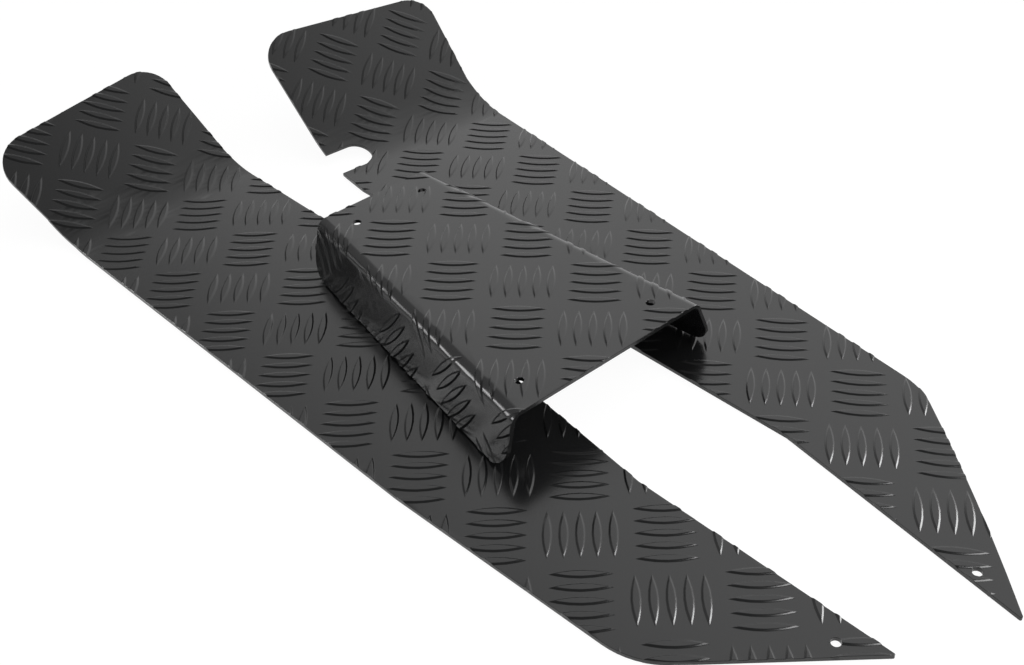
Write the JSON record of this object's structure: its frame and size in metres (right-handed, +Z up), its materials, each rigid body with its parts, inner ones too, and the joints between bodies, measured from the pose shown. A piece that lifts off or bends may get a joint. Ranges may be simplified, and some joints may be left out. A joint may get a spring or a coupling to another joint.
{
  "type": "scooter floorboard",
  "caption": "Scooter floorboard of black tread sheet: footboards with upturned fronts and a folded channel cover that bridges the gap between them.",
  "frame": {"origin": "centre of the set's footprint, on the surface that the boards lie on", "axes": "+X forward, towards the upturned ends, +Y to the rider's left, +Z up"},
  "size_m": [0.4404, 0.2154, 0.0386],
  "materials": {
    "tread_sheet": "satin black coating on embossed five-bar aluminium sheet"
  },
  "bodies": {
    "root": {"right_footboard": "tread_sheet", "left_footboard": "tread_sheet", "centre_cover": "tread_sheet"}
  },
  "joints": []
}
